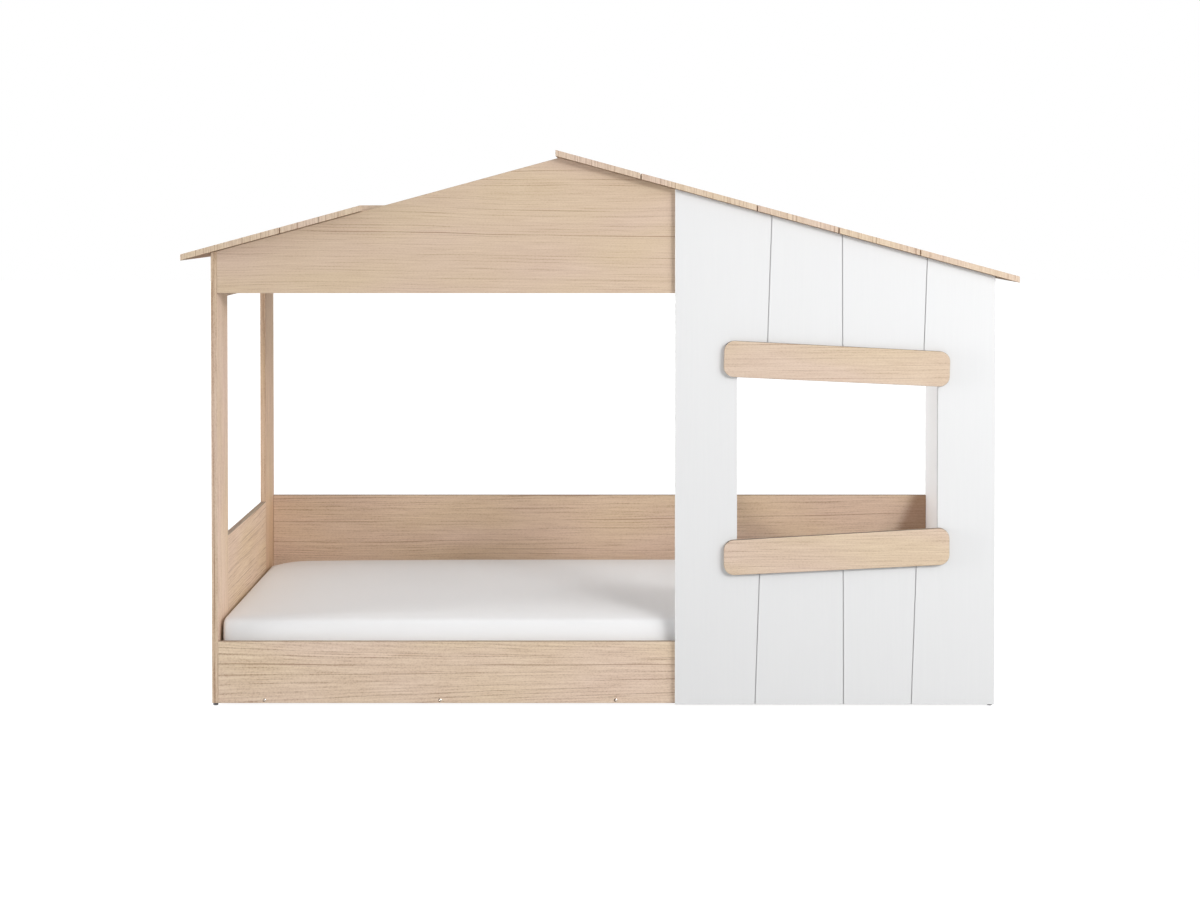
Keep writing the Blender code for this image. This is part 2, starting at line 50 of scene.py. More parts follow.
NOISE_LOW, NOISE_HIGH = 0.3, 0.7    # most of a noise's values lie between these
SLATS = sorted(name for name in nodes if name.startswith("slat_"))
BATTENS = ("front_ledge", "rear_ledge", "centre_runner")

# Camera, in metres, millimetres and degrees
CAMERA_PLACE = (0.0, -5.9434, 1.2608)
CAMERA_TILT = 1.083             # degrees below level
CAMERA_LENS = 65.456
CAMERA_SENSOR = 36.0
CAMERA_SHIFT = -0.170

# Studio. Each lamp has a name, degrees to the right of straight ahead, degrees above level,
# width, height and watts. The lamps on the right throw the main shadows: a low one for their
# edge, a broad one for their softness.
LAMP_TARGET = (0.0, -0.2, 0.7)
LAMP_DISTANCE = 4.6
LAMPS = (
    ("key_small", 31.0, 17.0, 1.3, 0.45, 54.0),
    ("key_wide", 45.0, 17.0, 2.4, 2.4, 66.0),
    ("front_fill", -5.0, 6.0, 0.5, 0.5, 24.0),
    ("low_left_panel", -80.0, 2.0, 1.6, 1.6, 135.0),
)
# A spot lamp through the window onto the rear guard
BEAM_TARGET = (0.595, -0.475, 0.60)
BEAM_SIDE = -4.0
BEAM_RISE = 9.0
BEAM_CONE = 4.2                 # degrees from edge to edge
BEAM_WIDENING = 1.35            # the cone's width over its height
BEAM_BLEND = 0.35               # share of the cone that fades out
BEAM_RADIUS = 0.03
BEAM_COLOUR = (1.0, 0.94, 0.86)
BEAM_WATTS = 240.0
SKY_MEAN = 0.69                 # the room's brightness, which rises towards the rear
SKY_SLOPE = 0.58
FLOOR_REACH = 30.0
FLOOR_DROP = 0.0004             # the floor lies this far under the glides
FLOOR_GREY = (0.25, 0.25, 0.25, 1.0)
FLOOR_ROUGHNESS = 0.9
FLOOR_GLOW = 0.20               # what the floor sends up to the bed
FLOOR_SEEN = 0.92               # what keeps it white in the picture


class Graph:
    """Short calls that build one node tree; each returns a socket to use next."""

    def __init__(self, tree):
        self.tree = tree

    def node(self, kind, inputs=(), **settings):
        made = self.tree.nodes.new(kind)
        for name, value in settings.items():
            setattr(made, name, value)
        for key, value in dict(inputs).items():
            self.feed(made.inputs[key], value)
        return made

    def feed(self, socket, value):
        if isinstance(value, bpy.types.NodeSocket):
            self.tree.links.new(value, socket)
        else:
            socket.default_value = value

    def math(self, operation, first, second=0.0, third=0.0, clamp=False):
        made = self.node("ShaderNodeMath", {0: first, 1: second, 2: third}, operation=operation)
        made.use_clamp = clamp
        return made.outputs[0]

    def around(self, share, weight, base, clamp=False):
        """How far a share lies from one half, times a weight, added to a base."""
        return self.math("MULTIPLY_ADD", self.math("SUBTRACT", share, 0.5), weight, base, clamp)

    def reach(self, first, second):
        """How far a point lies from zero, from its two coordinates."""
        squares = [self.math("MULTIPLY", value, value) for value in (first, second)]
        return self.math("SQRT", self.math("ADD", *squares))

    def vector(self, x=0.0, y=0.0, z=0.0):
        return self.node("ShaderNodeCombineXYZ", {0: x, 1: y, 2: z}).outputs[0]

    def scaled(self, along, across, seed, cycles):
        """A place for a pattern that repeats so many times a metre each way."""
        return self.vector(self.math("MULTIPLY", along, cycles[0]),
                           self.math("MULTIPLY", across, cycles[1]), seed)

    def noise(self, place, scale=1.0, detail=2.0, roughness=0.5):
        """Noise from 0 to 1 at a 3-D place."""
        made = self.node("ShaderNodeTexNoise", {"Vector": place, "Scale": scale, "Detail": detail,
                                                "Roughness": roughness})
        return made.outputs[0]

    def line_noise(self, place, scale=1.0, detail=2.0, roughness=0.5):
        """Noise from 0 to 1 along one number."""
        made = self.node("ShaderNodeTexNoise", {"W": place, "Scale": scale, "Detail": detail,
                                                "Roughness": roughness}, noise_dimensions="1D")
        return made.outputs[0]

    def ramp(self, value, low, high, to_low=0.0, to_high=1.0, smooth=False):
        made = self.node("ShaderNodeMapRange", {"Value": value, "From Min": low, "From Max": high,
                                                "To Min": to_low, "To Max": to_high})
        made.interpolation_type = "SMOOTHSTEP" if smooth else "LINEAR"
        return made.outputs[0]

    def over_noise(self, noise, at_low, at_high):
        """A noise's usual range turned into the range between two values."""
        return self.ramp(noise, NOISE_LOW, NOISE_HIGH, at_low, at_high)

    def colours(self, share, dark, middle, light):
        """A colour ramp over three linear colours, with the middle one at one half."""
        made = self.node("ShaderNodeValToRGB", {0: share})
        elements = made.color_ramp.elements
        elements.new(0.5)
        for element, colour in zip(elements, (dark, middle, light)):
            element.color = (*colour, 1.0)
        return made.outputs[0]

    def tint(self, colour, factor):
        """A colour multiplied by a number."""
        made = self.node("ShaderNodeVectorMath", {0: colour}, operation="SCALE")
        self.feed(made.inputs["Scale"], factor)
        return made.outputs[0]

    def product(self, first, second):
        """One colour multiplied by another."""
        return self.node("ShaderNodeVectorMath", {0: first, 1: second}, operation="MULTIPLY").outputs[0]

    def mix(self, share, first, second):
        """A colour between two, nearer the second as the share grows."""
        made = self.node("ShaderNodeMix", {0: share, 6: first, 7: second}, data_type="RGBA")
        return made.outputs[2]

    def mix_number(self, share, first, second):
        """A number between two, nearer the second as the share grows."""
        made = self.node("ShaderNodeMix", {0: share, 2: first, 3: second}, data_type="FLOAT")
        return made.outputs[0]

    def bump(self, height, distance, strength=0.5):
        """A normal for a surface whose relief is this high."""
        made = self.node("ShaderNodeBump", {"Height": height, "Distance": distance, "Strength": strength})
        return made.outputs[0]

    def place(self):
        """Object coordinates and the surface's own normal, each split in three."""
        coordinates = self.node("ShaderNodeTexCoord")
        spot = self.node("ShaderNodeSeparateXYZ", {0: coordinates.outputs["Object"]})
        normal = self.node("ShaderNodeSeparateXYZ", {0: coordinates.outputs["Normal"]})
        return coordinates.outputs["Object"], list(spot.outputs), list(normal.outputs)


def new_material(name, fixed):
    """A Principled material with its constant values set on the shader itself."""
    material = bpy.data.materials.new(name)
    material.use_nodes = True
    shader = material.node_tree.nodes["Principled BSDF"]
    for key, value in fixed.items():
        shader.inputs[key].default_value = value
    return material, Graph(material.node_tree), shader


# Wood figure. Cycles are counted in a metre, first along and then across the grain. Of the
# inputs, sway is how far the grain wanders, and fan how fast its lines part along the board,
# from fan_centre. The rings' middle lies at ring_centre across the board and ring_depth under
# it, which ring_taper changes along the board, and ring_scale sets the rings closer.
FIGURE_INPUTS = ("along", "across", "seed", "sway", "fan", "fan_centre", "ring_centre", "ring_depth",
                 "ring_taper", "ring_scale")
SLOW_SWAY_CYCLES = (1.3, 4.5)
QUICK_SWAY_CYCLES = (7.0, 26.0)
QUICK_SWAY = 2 * MM
FIBRE_CYCLES = (11.0, 330.0)
FIBRE_ROUGHNESS = 0.70
PORE_CYCLES = (200.0, 420.0)
DRIFT_CYCLES = (3.2, 7.0)
HUE_CYCLES = (2.6, 9.0)
RING_COUNT = 34.0               # growth rings in a metre
VEINS = (62.0, 0.085, 2.4)      # lines in a metre, half width over spacing, cycles of fading
FINE_LINES = (140.0, 0.19, 3.2)
LINE_WANDER_SHARE = 0.45        # of the lines' count, for the noise that spaces them unevenly
LINE_PLAY_SHARE = 0.4           # of a line's own space, over which its middle may lie
LINE_CORE_SHARE = 0.3           # of a line's half width, which is fully dark
LINE_FADE = (0.36, 0.62)        # noise at which a line starts to show, and at which it is whole
PALEST_LINE = 0.4               # darkness of the palest line over that of the darkest
LINE_STEP = 5.37                # from the fading noise of one line to that of the next


def make_figure_group():
    """Wood figure from growth rings that are cut slowly along the board, with fibres and pores."""
    group = bpy.data.node_groups.new("wood_figure", "ShaderNodeTree")
    for name in FIGURE_INPUTS:
        group.interface.new_socket(name=name, in_out="INPUT", socket_type="NodeSocketFloat")
    g = Graph(group)
    given = g.node("NodeGroupInput").outputs
    along, across, seed = given["along"], given["across"], given["seed"]
    fan = g.math("MULTIPLY", given["fan"], g.math("SUBTRACT", across, given["fan_centre"]))
    across = g.math("MULTIPLY_ADD", fan, along, across)
    slow = g.noise(g.scaled(along, across, seed, SLOW_SWAY_CYCLES))
    quick = g.noise(g.scaled(along, across, seed, QUICK_SWAY_CYCLES))
    sway = g.around(slow, given["sway"], across)
    sway = g.around(quick, QUICK_SWAY, sway)
    depth = g.math("MULTIPLY_ADD", along, given["ring_taper"], given["ring_depth"])
    ring = g.reach(g.math("SUBTRACT", sway, given["ring_centre"]), depth)
    ring = g.math("ADD", g.math("MULTIPLY", ring, given["ring_scale"]), seed)

    def stretched(cycles, **settings):
        """Noise that follows the sway of the grain."""
        return g.noise(g.scaled(along, sway, seed, cycles), **settings)

    def drawn(count, half_width, fade_cycles):
        """Thin lines, unevenly spaced, each as dark as its own number says and fading along."""
        wander = g.line_noise(ring, scale=LINE_WANDER_SHARE * count)
        place = g.math("MULTIPLY_ADD", ring, count, wander)
        line = g.math("FLOOR", place)
        own = g.node("ShaderNodeTexWhiteNoise", {"W": line}, noise_dimensions="1D").outputs[0]
        middle = g.math("MULTIPLY_ADD", own, LINE_PLAY_SHARE, (1 - LINE_PLAY_SHARE) / 2)
        off = g.math("ABSOLUTE", g.math("SUBTRACT", g.math("FRACT", place), middle))
        fading = g.noise(g.scaled(along, line, seed, (fade_cycles, LINE_STEP)))
        dark = g.math("MULTIPLY", g.ramp(fading, *LINE_FADE, smooth=True),
                      g.math("MULTIPLY_ADD", own, 1 - PALEST_LINE, PALEST_LINE))
        shape = g.ramp(off, half_width, LINE_CORE_SHARE * half_width, smooth=True)
        return g.math("MULTIPLY", shape, dark)

    layers = {
        "rings": g.line_noise(ring, scale=RING_COUNT, detail=1.0),
        "veins": drawn(*VEINS),
        "lines": drawn(*FINE_LINES),
        "fibres": stretched(FIBRE_CYCLES, detail=1.0, roughness=FIBRE_ROUGHNESS),
        "pores": stretched(PORE_CYCLES, detail=1.0),
        "drift": stretched(DRIFT_CYCLES),
        "hue": stretched(HUE_CYCLES, detail=1.0),
    }
    for name in layers:
        group.interface.new_socket(name=name, in_out="OUTPUT", socket_type="NodeSocketFloat")
    g.node("NodeGroupOutput", layers)
    return group


figure_group = make_figure_group()


def add_figure(g, along, across, seed, shape):
    """The shared wood figure at a place on a board, as its layers in their order."""
    inputs = {"along": along, "across": across, "seed": seed, **shape}
    return g.node("ShaderNodeGroup", inputs, node_tree=figure_group).outputs


# How a board shows the figure, with its shifts in metres
TURNED_FACE = 0.6               # how much of its axis the normal of an edge or an end has at least
EDGE_SHIFT = 0.35               # an edge shows the figure this far from where a face does,
END_SHIFT = 0.7                 # and an end this far
LOW_FACE = -0.5                 # a face looks to an axis's low end when its normal has less than this
END_ALONG_SHARE = 0.4           # of the depth of an upright end, taken as the way along the grain


def board_places(g, spot, normal, grain, cross, thin, ends_upright=False):
    """Along and across the grain, on faces, long edges and ends of a board."""
    on_edge = g.math("GREATER_THAN", g.math("ABSOLUTE", normal[AXIS[cross]]), TURNED_FACE)
    on_end = g.math("GREATER_THAN", g.math("ABSOLUTE", normal[AXIS[grain]]), TURNED_FACE)
    length, width, depth = spot[AXIS[grain]], spot[AXIS[cross]], spot[AXIS[thin]]
    end_along = g.math("MULTIPLY", depth, END_ALONG_SHARE) if ends_upright else width
    end_across = width if ends_upright else g.math("ADD", depth, END_SHIFT)
    along = g.mix_number(on_end, length, end_along)
    across = g.mix_number(on_edge, width, g.math("ADD", depth, EDGE_SHIFT))
    across = g.mix_number(on_end, across, end_across)
    return along, across, on_edge, on_end


def looks_low(g, normal, axis):
    """1 on faces that look towards the low end of an axis, and 0 on others."""
    return g.math("LESS_THAN", normal[AXIS[axis]], LOW_FACE)


# Oak finish, with linear colours. The tone is 0 at the dark colour and 1 at the light one, and
# a weight is how far its layer moves the tone.
OAK_DARK = (0.448, 0.302, 0.212)
OAK_MIDDLE = (0.655, 0.503, 0.371)
OAK_LIGHT = (0.770, 0.622, 0.479)
OAK_PINKER = (1.008, 0.994, 1.040)
OAK_YELLOWER = (0.999, 0.999, 0.955)
HUE_RANGE = (0.36, 0.64)        # noise at which the oak is pinkest, and at which it is yellowest
OAK_FIGURE = {"sway": 0.035, "ring_centre": 0.9, "ring_depth": 0.25, "ring_taper": 0.02,
              "ring_scale": 1.0}
TONE_BASE = 0.67                # tone of the plain wood between the layers
TONE_LIFT = 0.15                # added to the layers before their contrast is scaled
RING_WEIGHT = 0.22
VEIN_WEIGHT = -0.75
LINE_WEIGHT = -0.58
FIBRE_WEIGHT = 1.10
DRIFT_WEIGHT = 0.30
PORE_WEIGHT = -0.30
PORE_RANGE = (0.45, 0.68)       # noise at which a pore starts, and at which it is open
OAK_GLOSS = 0.35
OAK_ROUGHNESS = (0.62, 0.50)
EDGE_ROUGHNESS = 0.30           # what the long edges have more
OAK_RELIEF = 0.10 * MM
OAK_RELIEF_STRENGTH = 0.6
FIBRE_RELIEF = 0.6              # height of a fibre over the depth of a pore
ROOF_JOINT = -0.7018            # a closed joint in the second roof board from the left
JOINT_SHADE = 0.35              # what is left of the oak's colour in that joint
JOINT_EDGES = (0.4 * MM, 1.1 * MM)      # from its middle: how far it is darkest, and where it ends
CORNER_SHADOW_START = 0.714            # painted shadow: the rear guard's front face is darker where X + lean * Z passes this, with the lean below
CORNER_SHADOW_LEAN = -0.45
CORNER_SHADOW_SOFTNESS = 0.045
CORNER_SHADOW_TINT = (0.56, 0.47, 0.41, 1.0)
UNDER_SHADE_TINT = (0.47, 0.38, 0.30, 1.0)    # painted shade under the roof boards: their undersides darkened to brown


def oak(name, seed, grain, cross, thin, shade=1.0, edge_shade=1.0, end_shade=1.0, outer_shade=1.0,
        contrast=1.0, hue_bias=(1.0, 1.0, 1.0), ends_upright=False, joint_at=None,
        painted_corner_shadow=False, painted_underside_shade=False, **figure):
    """Light oak laminate: fine lines and fibres along the grain, pressed pores, a slow drift of hue.

    shade is for the whole board, edge_shade and end_shade for its long edges and its ends, and
    outer_shade for the face that looks to the left, away from the bed. shade is partly the board's
    own tone and partly painted light and shade; edge_shade, end_shade and outer_shade are painted
    shade. hue_bias tints the colour, partly as painted warm light thrown back inside the bed.
    contrast scales the whole figure, and the words in figure change its shape.
    joint_at is the place, across the grain, of a closed joint between two staves.
    painted_corner_shadow paints a shadow on the board's front face at its right end, where it is darker
    in the photograph.
    painted_underside_shade darkens the underside with a brown painted shade.
    """
    material, g, shader = new_material(name, {"Specular IOR Level": OAK_GLOSS})
    _, spot, normal = g.place()
    along, across, on_edge, on_end = board_places(g, spot, normal, grain, cross, thin, ends_upright)
    layers = add_figure(g, along, across, seed, {**OAK_FIGURE, **figure})
    rings, veins, lines, fibres, pores, drift, hue = layers
    pore = g.ramp(pores, *PORE_RANGE)
    tone = g.around(rings, RING_WEIGHT, TONE_LIFT)
    tone = g.math("MULTIPLY_ADD", veins, VEIN_WEIGHT, tone)
    tone = g.math("MULTIPLY_ADD", lines, LINE_WEIGHT, tone)
    tone = g.around(fibres, FIBRE_WEIGHT, tone)
    tone = g.around(drift, DRIFT_WEIGHT, tone)
    tone = g.math("MULTIPLY_ADD", pore, PORE_WEIGHT, tone)
    tone = g.math("MULTIPLY_ADD", tone, contrast, TONE_BASE, clamp=True)
    colour = g.colours(tone, OAK_DARK, OAK_MIDDLE, OAK_LIGHT)
    pinker, yellower = ([part * bias for part, bias in zip(hue_end, hue_bias)] + [1.0]
                        for hue_end in (OAK_PINKER, OAK_YELLOWER))
    colour = g.product(colour, g.mix(g.ramp(hue, *HUE_RANGE), pinker, yellower))
    # painted shade on the long edges and the ends
    face_shade = g.math("MULTIPLY_ADD", on_edge, edge_shade - 1.0, 1.0)
    face_shade = g.math("MULTIPLY_ADD", on_end, end_shade - 1.0, face_shade)
    # painted shade on the outer face, which looks away from the bed
    if outer_shade != 1.0:
        outer = g.math("MULTIPLY_ADD", looks_low(g, normal, "X"), outer_shade - 1.0, 1.0)
        face_shade = g.math("MULTIPLY", face_shade, outer)
    # painted shade on the underside of the board, darker and browner
    if painted_underside_shade:
        colour = g.product(colour, g.mix(looks_low(g, normal, "Z"), WHITE, UNDER_SHADE_TINT))
    if joint_at is not None:
        off_joint = g.math("ABSOLUTE", g.math("SUBTRACT", spot[AXIS[cross]], joint_at))
        face_shade = g.math("MULTIPLY", face_shade, g.ramp(off_joint, *JOINT_EDGES, JOINT_SHADE, 1.0))
    # painted shadow in the rear guard's right corner, on its front face only
    if painted_corner_shadow:
        past_start = g.math("SUBTRACT", spot[AXIS["X"]], CORNER_SHADOW_START)
        past_corner = g.math("MULTIPLY_ADD", spot[AXIS["Z"]], CORNER_SHADOW_LEAN, past_start)
        share = g.math("MULTIPLY", g.ramp(past_corner, 0.0, CORNER_SHADOW_SOFTNESS, smooth=True),
                       looks_low(g, normal, "Y"))
        colour = g.product(colour, g.mix(share, WHITE, CORNER_SHADOW_TINT))
    g.feed(shader.inputs["Base Color"], g.tint(colour, g.math("MULTIPLY", face_shade, shade)))
    rough = g.over_noise(fibres, *OAK_ROUGHNESS)
    g.feed(shader.inputs["Roughness"], g.math("MULTIPLY_ADD", on_edge, EDGE_ROUGHNESS, rough))
    relief = g.math("MULTIPLY_ADD", pore, -1.0, g.math("MULTIPLY", fibres, FIBRE_RELIEF))
    g.feed(shader.inputs["Normal"], g.bump(relief, OAK_RELIEF, OAK_RELIEF_STRENGTH))
    return material


# White laminate. Its grain runs up, and is counted sideways and up in a metre.
WHITE_GLOSS = 0.40
WHITE_DULL = (0.862, 0.866, 0.872, 1.0)
WHITE_BRIGHT = (0.900, 0.902, 0.905, 1.0)
WHITE_GRAIN_CYCLES = (160.0, 5.0)
WHITE_GRAIN_ROUGHNESS = 0.65
WHITE_CLOUD_CYCLES = (3.0, 1.5)
WHITE_CLOUD_WEIGHT = 0.5
WHITE_FACE = 0.4                # how much of its axis the normal of a broad face has at least
SIDEWAYS_TURN = 0.83            # how much of Y counts as sideways, for the boards across the bed
WHITE_ROUGHNESS = (0.46, 0.36)
WHITE_RELIEF = 0.12 * MM


def white_board(name, seed, thin, shade=1.0, edge_shade=1.0):
    """White laminate with a faint pressed grain that runs up the board, and painted shade on its edges.
    """
    material, g, shader = new_material(name, {"Specular IOR Level": WHITE_GLOSS})
    _, spot, normal = g.place()
    on_edge = g.math("LESS_THAN", g.math("ABSOLUTE", normal[AXIS[thin]]), WHITE_FACE)
    sideways = g.math("ADD", spot[AXIS["X"]], g.math("MULTIPLY", spot[AXIS["Y"]], SIDEWAYS_TURN))
    up = spot[AXIS["Z"]]
    grain = g.noise(g.scaled(sideways, up, seed, WHITE_GRAIN_CYCLES), detail=4.0,
                    roughness=WHITE_GRAIN_ROUGHNESS)
    cloud = g.noise(g.scaled(sideways, up, seed, WHITE_CLOUD_CYCLES))
    share = g.around(cloud, WHITE_CLOUD_WEIGHT, grain, clamp=True)
    # the board's shade, partly painted light, and painted shade on its edges
    own_shade = g.math("MULTIPLY_ADD", on_edge, edge_shade - shade, shade)
    g.feed(shader.inputs["Base Color"], g.tint(g.mix(share, WHITE_DULL, WHITE_BRIGHT), own_shade))
    g.feed(shader.inputs["Roughness"], g.over_noise(grain, *WHITE_ROUGHNESS))
    g.feed(shader.inputs["Normal"], g.bump(grain, WHITE_RELIEF))
    return material


# Bare pine, with linear colours. Knots are spaced in cycles a metre, along and across the grain.
PINE_GLOSS = 0.30
PINE_DARK = (0.520, 0.330, 0.165)
PINE_MIDDLE = (0.690, 0.510, 0.310)
PINE_LIGHT = (0.800, 0.660, 0.465)
RESIN = (0.50, 0.30, 0.15, 1.0)
RESIN_WEIGHT = 0.35
KNOT = (0.200, 0.095, 0.045, 1.0)
PINE_FIGURE = {"sway": 0.03, "ring_centre": 0.03, "ring_depth": 0.05, "ring_taper": 0.03,
               "ring_scale": 1.9}
KNOT_CYCLES = (3.2, 9.0)
KNOT_EDGES = (0.085, 0.060)     # a knot's softened edge, over the knots' spacing
NEAR_KNOT = (0.22, 0.02)        # where the grain starts to bend round a knot, and bends fully
KNOT_PUSH = 10 * MM             # how far the grain bends
LATE_WOOD = (0.50, 0.62)        # noise at which a ring's late wood starts, and is darkest
LATE_WEIGHT = -0.42
PINE_TONE = 0.72
PINE_FIBRE_WEIGHT = 0.5
PINE_DRIFT_WEIGHT = 0.4
PINE_ROUGHNESS = (0.68, 0.52)
PINE_RELIEF = 0.12 * MM


def pine(name, seed, grain, cross, thin):
    """Planed bare pine with rings, resin streaks and a few small knots."""
    material, g, shader = new_material(name, {"Specular IOR Level": PINE_GLOSS})
    _, spot, normal = g.place()
    along, across, _, _ = board_places(g, spot, normal, grain, cross, thin)
    knot_place = g.scaled(along, across, seed, KNOT_CYCLES)
    off_knot = g.node("ShaderNodeTexVoronoi", {"Vector": knot_place, "Scale": 1.0}).outputs["Distance"]
    near_knot = g.ramp(off_knot, *NEAR_KNOT, smooth=True)
    knot = g.ramp(off_knot, *KNOT_EDGES, smooth=True)
    pushed = g.math("MULTIPLY_ADD", near_knot, KNOT_PUSH, across)
    rings, _, _, fibres, _, drift, _ = add_figure(g, along, pushed, seed, PINE_FIGURE)
    late = g.ramp(rings, *LATE_WOOD)
    tone = g.math("MULTIPLY_ADD", late, LATE_WEIGHT, PINE_TONE)
    tone = g.around(fibres, PINE_FIBRE_WEIGHT, tone)
    tone = g.around(drift, PINE_DRIFT_WEIGHT, tone, clamp=True)
    colour = g.colours(tone, PINE_DARK, PINE_MIDDLE, PINE_LIGHT)
    colour = g.mix(g.math("MULTIPLY", near_knot, RESIN_WEIGHT), colour, RESIN)
    g.feed(shader.inputs["Base Color"], g.mix(knot, colour, KNOT))
    g.feed(shader.inputs["Roughness"], g.ramp(late, 0.0, 1.0, *PINE_ROUGHNESS))
    g.feed(shader.inputs["Normal"], g.bump(g.math("ADD", fibres, late), PINE_RELIEF))
    return material


# Plastic of the glides, with linear colours
PLASTIC_GLOSS = 0.50
PLASTIC_GREY = (0.115, 0.117, 0.124, 1.0)
SCUFF_GREY = (0.27, 0.26, 0.25, 1.0)
SPECKLE_COUNT = 900.0           # patches in a metre
SCUFF_COUNT = 240.0
SCUFF_ROUGHNESS = 0.7
SCUFF_RANGE = (0.45, 0.62)      # noise at which a scuff starts, and is whole
SCUFFED_FOOT = (1.8 * MM, 0.2 * MM)     # height at which scuffs end, and under which all show
PLASTIC_ROUGHNESS = (0.34, 0.48)
PLASTIC_RELIEF = 0.05 * MM


def moulded_plastic(name):
    """Dark grey glide with a fine moulded texture and scuffs on its foot."""
    material, g, shader = new_material(name, {"Specular IOR Level": PLASTIC_GLOSS})
    place, spot, _ = g.place()
    speckle = g.noise(place, scale=SPECKLE_COUNT)
    scuff = g.noise(place, scale=SCUFF_COUNT, detail=4.0, roughness=SCUFF_ROUGHNESS)
    foot = g.ramp(spot[AXIS["Z"]], *SCUFFED_FOOT)
    share = g.math("MULTIPLY", g.ramp(scuff, *SCUFF_RANGE), foot)
    g.feed(shader.inputs["Base Color"], g.mix(share, PLASTIC_GREY, SCUFF_GREY))
    g.feed(shader.inputs["Roughness"], g.over_noise(speckle, *PLASTIC_ROUGHNESS))
    g.feed(shader.inputs["Normal"], g.bump(speckle, PLASTIC_RELIEF))
    return material


# Plating of the screws, with linear colours
NICKEL_METAL = 0.75
NICKEL_DULL = (0.90, 0.80, 0.69, 1.0)
NICKEL_BRIGHT = (0.98, 0.91, 0.82, 1.0)
# painted shadow at the rim of a screw head, on one side
RIM_SHADOW_COLOUR = (0.16, 0.11, 0.08, 1.0)
NICKEL_CLOUD_COUNT = 420.0      # patches in a metre
TURNING_COUNT = 2600.0
RIM_SHADOW_SHARES = (0.45, 0.70)       # of the head's radius: where the painted shadow starts, and is darkest
SHADOW_SIDE_SHARES = (0.30, -0.10)     # of the head's radius to one side: the same, across the head
NICKEL_ROUGHNESS = (0.18, 0.30)
NICKEL_RELIEF = 0.02 * MM


def nickel(name, head=None):
    """Warm nickel-plated steel with turning marks.

    A head's radius puts a painted shadow along one side of its rim.
    """
    material, g, shader = new_material(name, {"Metallic": NICKEL_METAL})
    place, (x, y, _), _ = g.place()
    cloud = g.noise(place, scale=NICKEL_CLOUD_COUNT, detail=3.0)
    marks = g.noise(place, scale=TURNING_COUNT)
    colour = g.mix(cloud, NICKEL_DULL, NICKEL_BRIGHT)
    # painted shadow along one side of the head's rim
    if head:
        rim_shadow = g.ramp(g.reach(x, y), *(share * head for share in RIM_SHADOW_SHARES))
        shadow_side = g.ramp(x, *(share * head for share in SHADOW_SIDE_SHARES))
        colour = g.mix(g.math("MULTIPLY", rim_shadow, shadow_side), colour, RIM_SHADOW_COLOUR)
    g.feed(shader.inputs["Base Color"], colour)
    g.feed(shader.inputs["Roughness"], g.over_noise(marks, *NICKEL_ROUGHNESS))
    g.feed(shader.inputs["Normal"], g.bump(marks, NICKEL_RELIEF))
    return material


# Cotton of the fitted sheet, with linear colours
COTTON = {"Roughness": 0.92, "Sheen Weight": 0.25, "Sheen Roughness": 0.5, "Specular IOR Level": 0.2}
COTTON_DULL = (0.868, 0.868, 0.874, 1.0)
COTTON_BRIGHT = (0.918, 0.919, 0.926, 1.0)
THREAD_PITCH = 0.9 * MM         # of the weave, over two threads
WEAVE_WEIGHT = 0.10
WEAVE_RELIEF = 0.35             # height of the weave over that of the slubs
SLUB_CYCLES = (40.0, 320.0)     # along the warp, and across it
SLUB_ROUGHNESS = 0.6
SLUB_WEIGHT = 0.5
SHEET_CLOUD_COUNT = 4.0
SHEET_CLOUD_WEIGHT = 0.5
COTTON_RELIEF = 0.25 * MM


def bed_sheet(name):
    """White cotton with a fine plain weave, soft sheen and a little unevenness."""
    material, g, shader = new_material(name, COTTON)
    place, (x, y, z), _ = g.place()
    turn = 2 * math.pi / THREAD_PITCH
    warp = g.math("SINE", g.math("MULTIPLY", x, turn))
    weft = g.math("SINE", g.math("MULTIPLY", g.math("ADD", y, z), turn))
    weave = g.math("MULTIPLY", warp, weft)
    slub_place = g.scaled(x, y, g.math("MULTIPLY", z, SLUB_CYCLES[1]), SLUB_CYCLES)
    slub = g.noise(slub_place, detail=3.0, roughness=SLUB_ROUGHNESS)
    cloud = g.noise(place, scale=SHEET_CLOUD_COUNT, detail=3.0)
    share = g.math("MULTIPLY_ADD", slub, SLUB_WEIGHT, g.math("MULTIPLY", cloud, SHEET_CLOUD_WEIGHT))
    share = g.math("MULTIPLY_ADD", weave, WEAVE_WEIGHT, share)
    g.feed(shader.inputs["Base Color"], g.mix(share, COTTON_DULL, COTTON_BRIGHT))
    relief = g.math("MULTIPLY_ADD", weave, WEAVE_RELIEF, slub)
    g.feed(shader.inputs["Normal"], g.bump(relief, COTTON_RELIEF))
    return material


# First seed and step of each kind of board that repeats, so that no two boards look alike
SEEDS = {"roof": (40.0, 3.7), "white": (3.0, 5.0), "slat": (0.0, 2.3), "batten": (60.0, 4.1)}


def seed_of(kind, index):
    """The seed of one board of a kind."""
    first, step = SEEDS[kind]
    return first + step * index


def dress(name, material):
    """Put a material into every slot of a node, or into a first slot if it has none."""
    mesh = nodes[name].data
    if not mesh.materials:
        mesh.materials.append(material)
    for index in range(len(mesh.materials)):
        mesh.materials[index] = material


